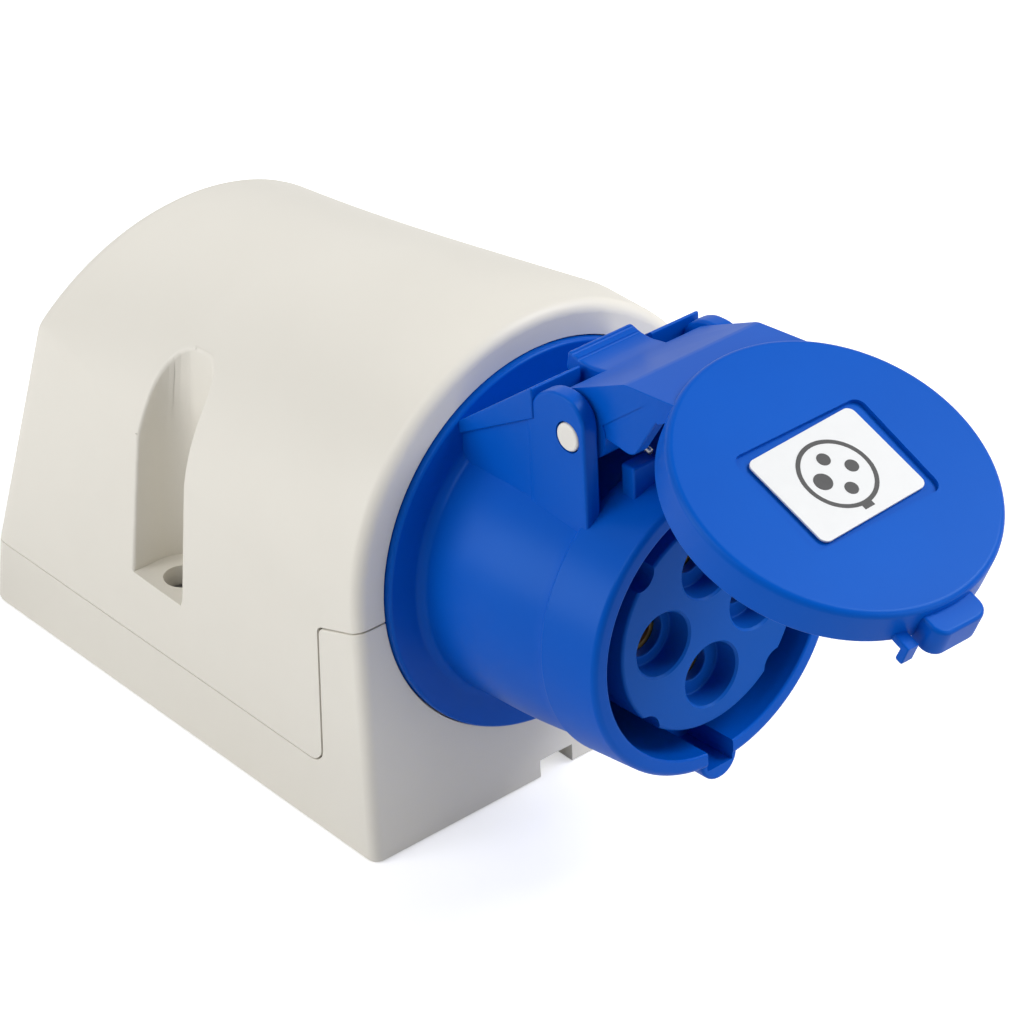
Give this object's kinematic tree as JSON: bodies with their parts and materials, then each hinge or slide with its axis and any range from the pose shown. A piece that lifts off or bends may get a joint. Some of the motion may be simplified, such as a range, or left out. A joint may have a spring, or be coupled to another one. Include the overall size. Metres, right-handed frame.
{
  "type": "industrial wall socket outlet",
  "caption": "Surface-mounted industrial power outlet: angled cream housing, round blue pin-and-sleeve socket and a hinged, sprung cap.",
  "frame": {"origin": "middle of the flat wall face under the base", "axes": "+Z out of the wall; the outlet faces -Y and leans 3.5 degrees up; +X to the right when looking into the outlet"},
  "size_m": [0.0868, 0.215, 0.1071],
  "materials": {
    "cream_plastic": "fine satin moulding, warm off-white",
    "blue_plastic": "satin moulding, signal blue",
    "deep_blue_plastic": "satin moulding, duller blue",
    "white_plastic": "smooth moulding",
    "grey_plastic": "satin moulding",
    "seal_rubber": "matt elastomer",
    "zinc_steel": "zinc plated",
    "brass": "machined, bright",
    "label_film": "smooth white film"
  },
  "bodies": {
    "housing": {"housing_base": "cream_plastic", "housing_cover": "cream_plastic", "cover_gasket": "seal_rubber", "flange_gasket": "seal_rubber", "cable_grommet": "seal_rubber", "cover_screw_left": "zinc_steel", "cover_screw_right": "zinc_steel", "screw_insert_left": "brass", "screw_insert_right": "brass", "socket_shroud": "blue_plastic", "socket_insulator": "deep_blue_plastic", "terminal_carrier": "grey_plastic", "contact_l1": "brass", "contact_l2": "brass", "contact_l3": "brass", "contact_earth": "brass", "terminal_screw_l1": "zinc_steel", "terminal_screw_l2": "zinc_steel", "terminal_screw_l3": "zinc_steel", "terminal_screw_earth": "zinc_steel", "hinge_pin": "white_plastic", "lid_spring": "zinc_steel"},
    "cap": {"lid": "blue_plastic", "lid_seal": "seal_rubber", "lid_label": "label_film"}
  },
  "joints": [
    {"name": "lid_hinge", "type": "hinge", "parent": "housing", "child": "cap", "pos_m": [0, -0.0824, 0.09082], "axis": [-1, 0, 0], "range_deg": [-64, 15], "stiffness_Nm_per_rad": 0.06, "springref_deg": -103.13, "deforming": ["lid_spring"]}
  ]
}
